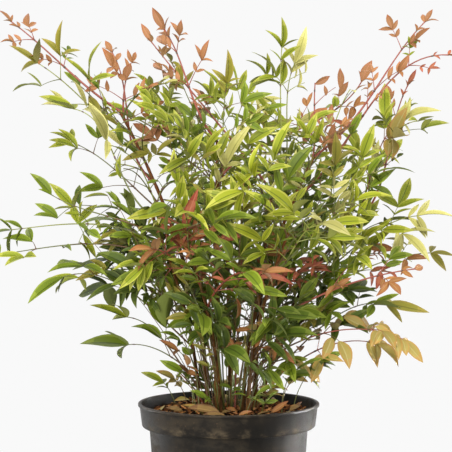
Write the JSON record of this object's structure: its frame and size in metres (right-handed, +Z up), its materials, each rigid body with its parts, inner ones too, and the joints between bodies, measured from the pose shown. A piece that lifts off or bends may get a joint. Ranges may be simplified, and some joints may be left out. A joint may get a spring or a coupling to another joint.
{
  "type": "potted heavenly bamboo shrub",
  "caption": "Heavenly bamboo: a clump of thin canes with airy fronds of pointed green, lime and bronze leaflets, standing in a round black nursery pot of soil.",
  "frame": {"origin": "centre of the pot's flat underside, on the pot's axis", "axes": "+Z up along the pot's axis, +X to the viewer's right and -Y towards the viewer of the fuller side"},
  "size_m": [0.6307, 0.4873, 0.6681],
  "materials": {
    "pot": "satin black moulded plastic",
    "soil": "rough bark-chip mulch",
    "cane": "matt brown bark",
    "leaf_deep": "satin dark green leaf",
    "leaf_green": "satin mid green leaf",
    "leaf_fresh": "satin yellow-green leaf",
    "leaf_lime": "satin lime leaf",
    "leaf_amber": "satin amber autumn leaf",
    "leaf_bronze": "satin bronze young leaf",
    "leaf_red": "satin red young leaf"
  },
  "bodies": {
    "root": {"pot": "pot", "soil": "soil", "cane_left_tall": "cane", "cane_left": "cane", "cane_centre_left": "cane", "cane_centre_right": "cane", "cane_right_tall": "cane", "cane_right": "cane", "cane_back": "cane", "cane_front_left": "cane", "cane_front_right": "cane", "frond_left_crest": "leaf_bronze", "frond_left_plume": "leaf_bronze", "frond_left_long": "leaf_fresh", "frond_left_arch": "leaf_fresh", "frond_left_high": "leaf_green", "frond_left_mid": "leaf_green", "frond_left_far": "leaf_green", "frond_left_droop": "leaf_green", "frond_left_low": "leaf_deep", "frond_left_lowest": "leaf_deep", "frond_left_foot": "leaf_amber", "frond_top_diagonal": "leaf_bronze", "frond_top_spear": "leaf_bronze", "frond_top_left": "leaf_green", "frond_top_green": "leaf_lime", "frond_crown_left": "leaf_fresh", "frond_crown_centre": "leaf_green", "frond_crown_right": "leaf_green", "frond_right_bronze": "leaf_bronze", "frond_right_spire": "leaf_bronze", "frond_right_crest": "leaf_bronze", "frond_right_whip": "leaf_red", "frond_right_red": "leaf_red", "frond_right_amber": "leaf_amber", "frond_right_high": "leaf_green", "frond_right_shoulder": "leaf_fresh", "frond_right_broad": "leaf_fresh", "frond_right_mid": "leaf_fresh", "frond_right_far": "leaf_fresh", "frond_right_rust": "leaf_red", "frond_right_dark": "leaf_deep", "frond_right_gold": "leaf_amber", "frond_right_low": "leaf_green", "frond_front_high": "leaf_fresh", "frond_front_upper": "leaf_lime", "frond_front_glow": "leaf_lime", "frond_front_lime": "leaf_lime", "frond_front_right": "leaf_lime", "frond_front_red_left": "leaf_red", "frond_front_red": "leaf_red", "frond_front_dark": "leaf_green", "frond_front_low": "leaf_deep", "frond_inner_left": "leaf_deep", "frond_back_left_high": "leaf_green", "frond_back_left": "leaf_green", "frond_back_high": "leaf_fresh", "frond_back_mid": "leaf_green", "frond_back_right": "leaf_green", "frond_back_low": "leaf_deep"}
  },
  "joints": []
}
